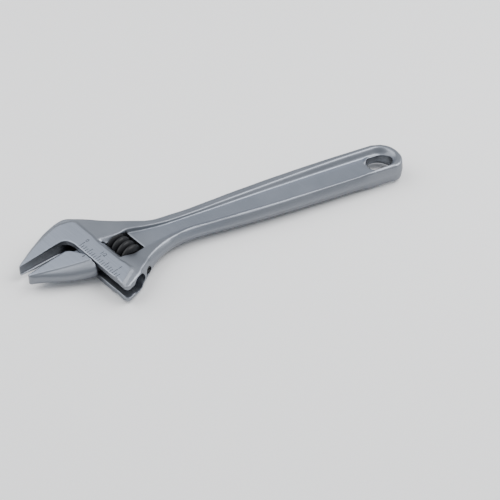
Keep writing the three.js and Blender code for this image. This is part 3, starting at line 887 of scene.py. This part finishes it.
# Of these colours, the first is rubbed edge wear that also paints a highlight, and the next three are
# painted shade: in creases, inside recesses and on upright faces.
RUBBED_AND_HIGHLIGHT, CREASE_SHADE, RECESS_SHADE, UPRIGHT_SHADE = grey(0.45, 1.1), grey(0.08, 0.95), grey(0.07, 1.05), grey(0.1, 1.05)
INK = (0.02, 0.016, 0.012, 1)
CREASE_SHADE_SHARE, UPRIGHT_SHADE_SHARE = 0.4, 0.42
SKIN_ROUGHNESS_SHARE, RUBBED_SMOOTHNESS, INK_ROUGHNESS = 0.5, -0.1, 0.25
BRUSH_TURN = math.atan2(DOWN.y, DOWN.x)
BRUSH_STRETCH = (60, 1, 1)
OXIDE = (0.004, 0.005, 0.007, 1), (0.009, 0.009, 0.011, 1)
WORN_OXIDE_AND_HIGHLIGHT = (0.04, 0.04, 0.045, 1)
WIRE = grey(0.3, 0.96), grey(0.42, 0.9)
PAPER = grey(0.92), grey(0.95)


def plated_steel():
    """Satin plate over a forging, with brushed ground lands, brighter rubbed edges that also paint a
    highlight, painted shade in creases, recesses and on upright faces, and inked engraving.
    """
    look = Surface("plated_steel")
    ground, inked = look.attribute("ground"), look.attribute("inked")
    blotch = look.noise(size_mm=14, detail=4)
    skin = look.noise(size_mm=1.3, detail=3)
    grain = look.noise(size_mm=0.16)
    strokes = look.noise(size_mm=0.22, detail=3, stretch=BRUSH_STRETCH, turn=BRUSH_TURN)
    forged = look.math("SUBTRACT", 1.0, ground)
    edge = look.times(look.pointiness(low=0.53, high=0.64), forged)
    # Where the surface bends inwards: the mask of the painted shade in the creases.
    hollow = look.times(look.pointiness(low=0.49, high=0.42), forged)
    rubbed_and_highlight = look.times(edge, look.span(skin, low=0.35, high=0.6, to_low=0.05, to_high=0.25))

    color = look.mix(ground, look.patches(blotch, *FORGED), look.patches(strokes, *BRUSHED))
    # Lighter outer edges: rubbed wear, which also paints a highlight along them.
    color = look.mix(rubbed_and_highlight, color, RUBBED_AND_HIGHLIGHT)
    # Painted shade: the forged surface darkened in its inner creases and steps.
    color = look.mix(look.times(hollow, CREASE_SHADE_SHARE), color, CREASE_SHADE)
    # Painted shade: darker inside the piece's own recesses, by ambient occlusion.
    color = look.mix(look.recess(reach_mm=7, open_from=0.8, closed_at=0.1, most=0.45), color, RECESS_SHADE)
    # Painted shade: faces that stand upright darkened, level ones left as they are.
    color = look.mix(look.times(look.flank(level=0.75, upright=0.25), UPRIGHT_SHADE_SHARE), color, UPRIGHT_SHADE)
    color = look.mix(inked, color, INK)

    roughness = look.math("ADD", blotch, look.times(skin, SKIN_ROUGHNESS_SHARE))
    roughness = look.span(roughness, low=0.5, high=1.0, to_low=0.38, to_high=0.44)
    roughness = look.math("ADD", roughness, look.times(rubbed_and_highlight, RUBBED_SMOOTHNESS))
    roughness = look.math("ADD", roughness, look.times(inked, INK_ROUGHNESS))

    normal = look.bump(look.times(skin, forged), height_mm=0.035)
    normal = look.bump(look.times(grain, forged), height_mm=0.009, under=normal)
    normal = look.bump(look.times(strokes, ground), height_mm=0.006, under=normal)
    look.set(Base_Color=color, Roughness=roughness, Normal=normal)
    look.set(Metallic=look.math("SUBTRACT", 1.0, inked))
    return look.material


def black_oxide():
    """Oiled black oxide, worn a little greyer on the crests, a lightening that also paints a highlight
    there.
    """
    look = Surface("black_oxide_steel")
    blotch = look.noise(size_mm=2.5, detail=3)
    grain = look.noise(size_mm=0.12)
    worn_and_highlight = look.span(blotch, low=0.35, high=0.65, to_low=0.1, to_high=0.4)
    # Lighter on the crests: worn oxide, which also paints a highlight there.
    worn_and_highlight = look.times(look.pointiness(low=0.54, high=0.66), worn_and_highlight)
    color = look.mix(worn_and_highlight, look.patches(blotch, *OXIDE), WORN_OXIDE_AND_HIGHLIGHT)
    roughness = look.span(grain, *NOISE_RANGE, to_low=0.42, to_high=0.55)
    normal = look.bump(grain, height_mm=0.006, under=look.bump(blotch, height_mm=0.02))
    look.set(Base_Color=color, Roughness=roughness, Metallic=0.35, Normal=normal)
    return look.material


def spring_steel():
    """Drawn wire: faint blotches and a straw tint."""
    look = Surface("spring_steel")
    grain = look.noise(size_mm=0.08)
    roughness = look.span(grain, *NOISE_RANGE, to_low=0.25, to_high=0.38)
    look.set(Base_Color=look.patches(look.noise(size_mm=1.5), *WIRE), Roughness=roughness, Metallic=1.0)
    look.set(Normal=look.bump(grain, height_mm=0.004))
    return look.material


def floor_paper():
    look = Surface("floor_paper")
    fibres = look.noise(size_mm=0.7, detail=3)
    look.set(Base_Color=look.patches(fibres, *PAPER), Roughness=0.9)
    look.set(Normal=look.bump(fibres, height_mm=0.02))
    return look.material


# ---- Stage, light and camera -------------------------------------------------------------------------
# Sizes are in metres, places and distances in millimetres, and energies in watts. The lights' places are
# measured from the row frame's origin, and the camera's target from the wrench's own.
FLOOR_SIZE = 4
LIGHTS = {
    "right_side": ((480, -100, 640), 0.7, 7),
    "left_side": ((-480, 360, 600), 1.0, 7),
}
SKY_COLOR, SKY_STRENGTH = (0.8, 0.82, 0.85, 1), 0.75
CAMERA_AZIMUTH, CAMERA_ELEVATION, CAMERA_DISTANCE = math.radians(-26.6), math.radians(41.5), 669.7
CAMERA_TARGET = (-84.5, -22.3, -6.1)
LENS, SENSOR = 100, 36


def make_stage():
    bpy.ops.mesh.primitive_plane_add(size=FLOOR_SIZE)
    floor = bpy.context.active_object
    floor.name = "floor"
    floor.data.materials.append(floor_paper())


def make_lights():
    """Two soft area lights aimed at the wrench's middle, and an even sky."""
    for name, (place_mm, size, energy) in LIGHTS.items():
        data = bpy.data.lights.new(name, "AREA")
        data.size, data.energy = size, energy
        light = bpy.data.objects.new(name, data)
        bpy.context.scene.collection.objects.link(light)
        light.location = Vector(place_mm) * MM
        light.rotation_euler = (-light.location).to_track_quat("-Z", "Y").to_euler()
    world = bpy.data.worlds.new("studio")
    world.use_nodes = True
    sky = world.node_tree.nodes["Background"].inputs
    sky["Color"].default_value, sky["Strength"].default_value = SKY_COLOR, SKY_STRENGTH
    bpy.context.scene.world = world


def make_camera():
    """A long lens, turned and raised about a point near the middle of the handle."""
    data = bpy.data.cameras.new("camera")
    data.lens, data.sensor_width = LENS, SENSOR
    camera = bpy.data.objects.new("camera", data)
    bpy.context.scene.collection.objects.link(camera)
    back = Vector((
        math.sin(CAMERA_AZIMUTH) * math.cos(CAMERA_ELEVATION),
        -math.cos(CAMERA_AZIMUTH) * math.cos(CAMERA_ELEVATION),
        math.sin(CAMERA_ELEVATION),
    ))
    target = (Vector(CAMERA_TARGET) + ORIGIN) * MM
    camera.location = target + back * CAMERA_DISTANCE * MM
    camera.rotation_euler = Euler((math.pi / 2 - CAMERA_ELEVATION, 0, CAMERA_AZIMUTH))
    bpy.context.scene.camera = camera


make_camera()
make_stage()
make_lights()
steel, black, wire = plated_steel(), black_oxide(), spring_steel()
place(make_body(), WRENCH_AXES, "wrench_body", "body", steel)
place(make_jaw(), HEAD_AXES, "sliding_jaw", "movable_jaw", steel)
place(make_worm(), WORM_AXES, "worm", "worm_knurl", black)
place(make_screw(), WORM_AXES, "wrench_body", "worm_screw", black)
place(make_spring(), WORM_AXES, "wrench_body", "worm_spring", wire)
